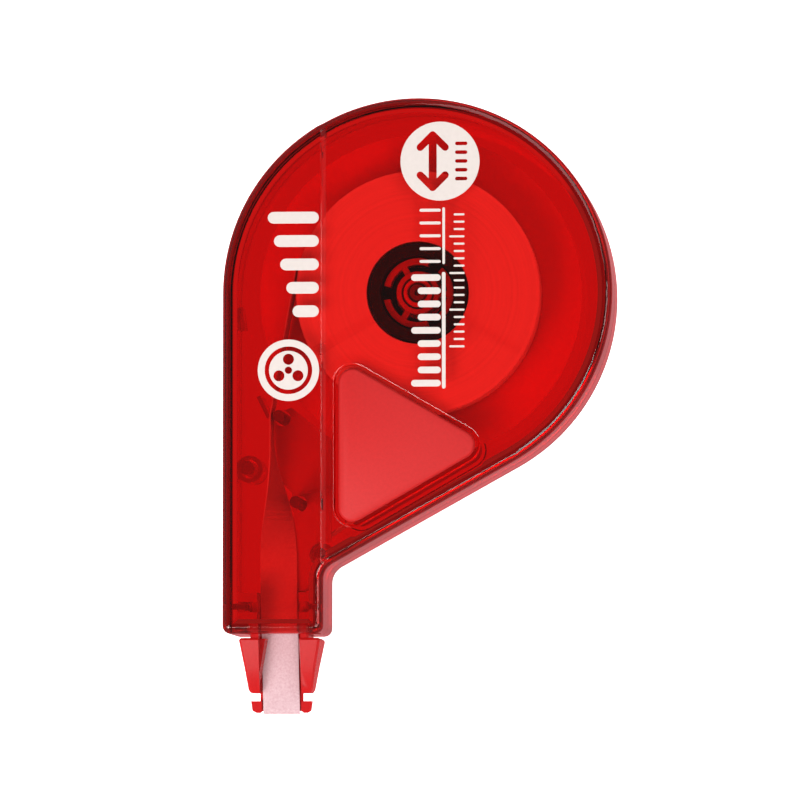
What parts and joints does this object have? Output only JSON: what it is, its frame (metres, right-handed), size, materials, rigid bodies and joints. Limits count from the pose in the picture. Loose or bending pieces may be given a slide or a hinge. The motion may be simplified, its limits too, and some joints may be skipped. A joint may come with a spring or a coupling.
{
  "type": "correction tape dispenser",
  "caption": "Flat P-shaped correction tape dispenser: translucent red casing, coaxial reels, triangular grip pads and a blade-like transfer head.",
  "frame": {"origin": "where the reel axis meets the flat rear face that the dispenser lies on", "axes": "+Z through the thickness from the rear face to the printed front face, +Y from the tip towards the round end, +X across, away from the neck"},
  "size_m": [0.0532, 0.0839, 0.016],
  "materials": {
    "clear_red": "glossy translucent red moulded polystyrene",
    "pad_red": "matte opaque red",
    "head_red": "satin opaque light red",
    "inner_red": "glossy translucent red",
    "dark_red": "glossy dark translucent red",
    "core_black": "satin black",
    "tape_white": "white correction film on a coated liner, matte",
    "liner": "thin glassine liner, satin"
  },
  "bodies": {
    "casing": {"front_cover": "clear_red", "rear_cover": "clear_red", "front_grip_pad": "pad_red", "rear_grip_pad": "pad_red", "transfer_head": "head_red", "reel_axle": "dark_red", "tape_run": "tape_white", "liner_run": "liner", "guide_plate": "dark_red", "upper_guide_pin": "dark_red", "lower_guide_pin": "dark_red"},
    "supply_reel": {"supply_core": "core_black", "tape_roll": "tape_white"},
    "take_up": {"take_up_reel": "inner_red", "clutch_spider": "inner_red", "liner_winding": "liner"}
  },
  "joints": [
    {"name": "supply_spin", "type": "hinge", "parent": "casing", "child": "supply_reel", "pos_m": [0, 0, 0.0112], "axis": [0, 0, 1], "continuous": true},
    {"name": "take_up_spin", "type": "hinge", "parent": "casing", "child": "take_up", "pos_m": [0, 0, 0.0046], "axis": [0, 0, 1], "continuous": true}
  ],
  "couplings": [
    {"joint": "take_up_spin", "follows": "supply_spin", "ratio": 0.83}
  ]
}
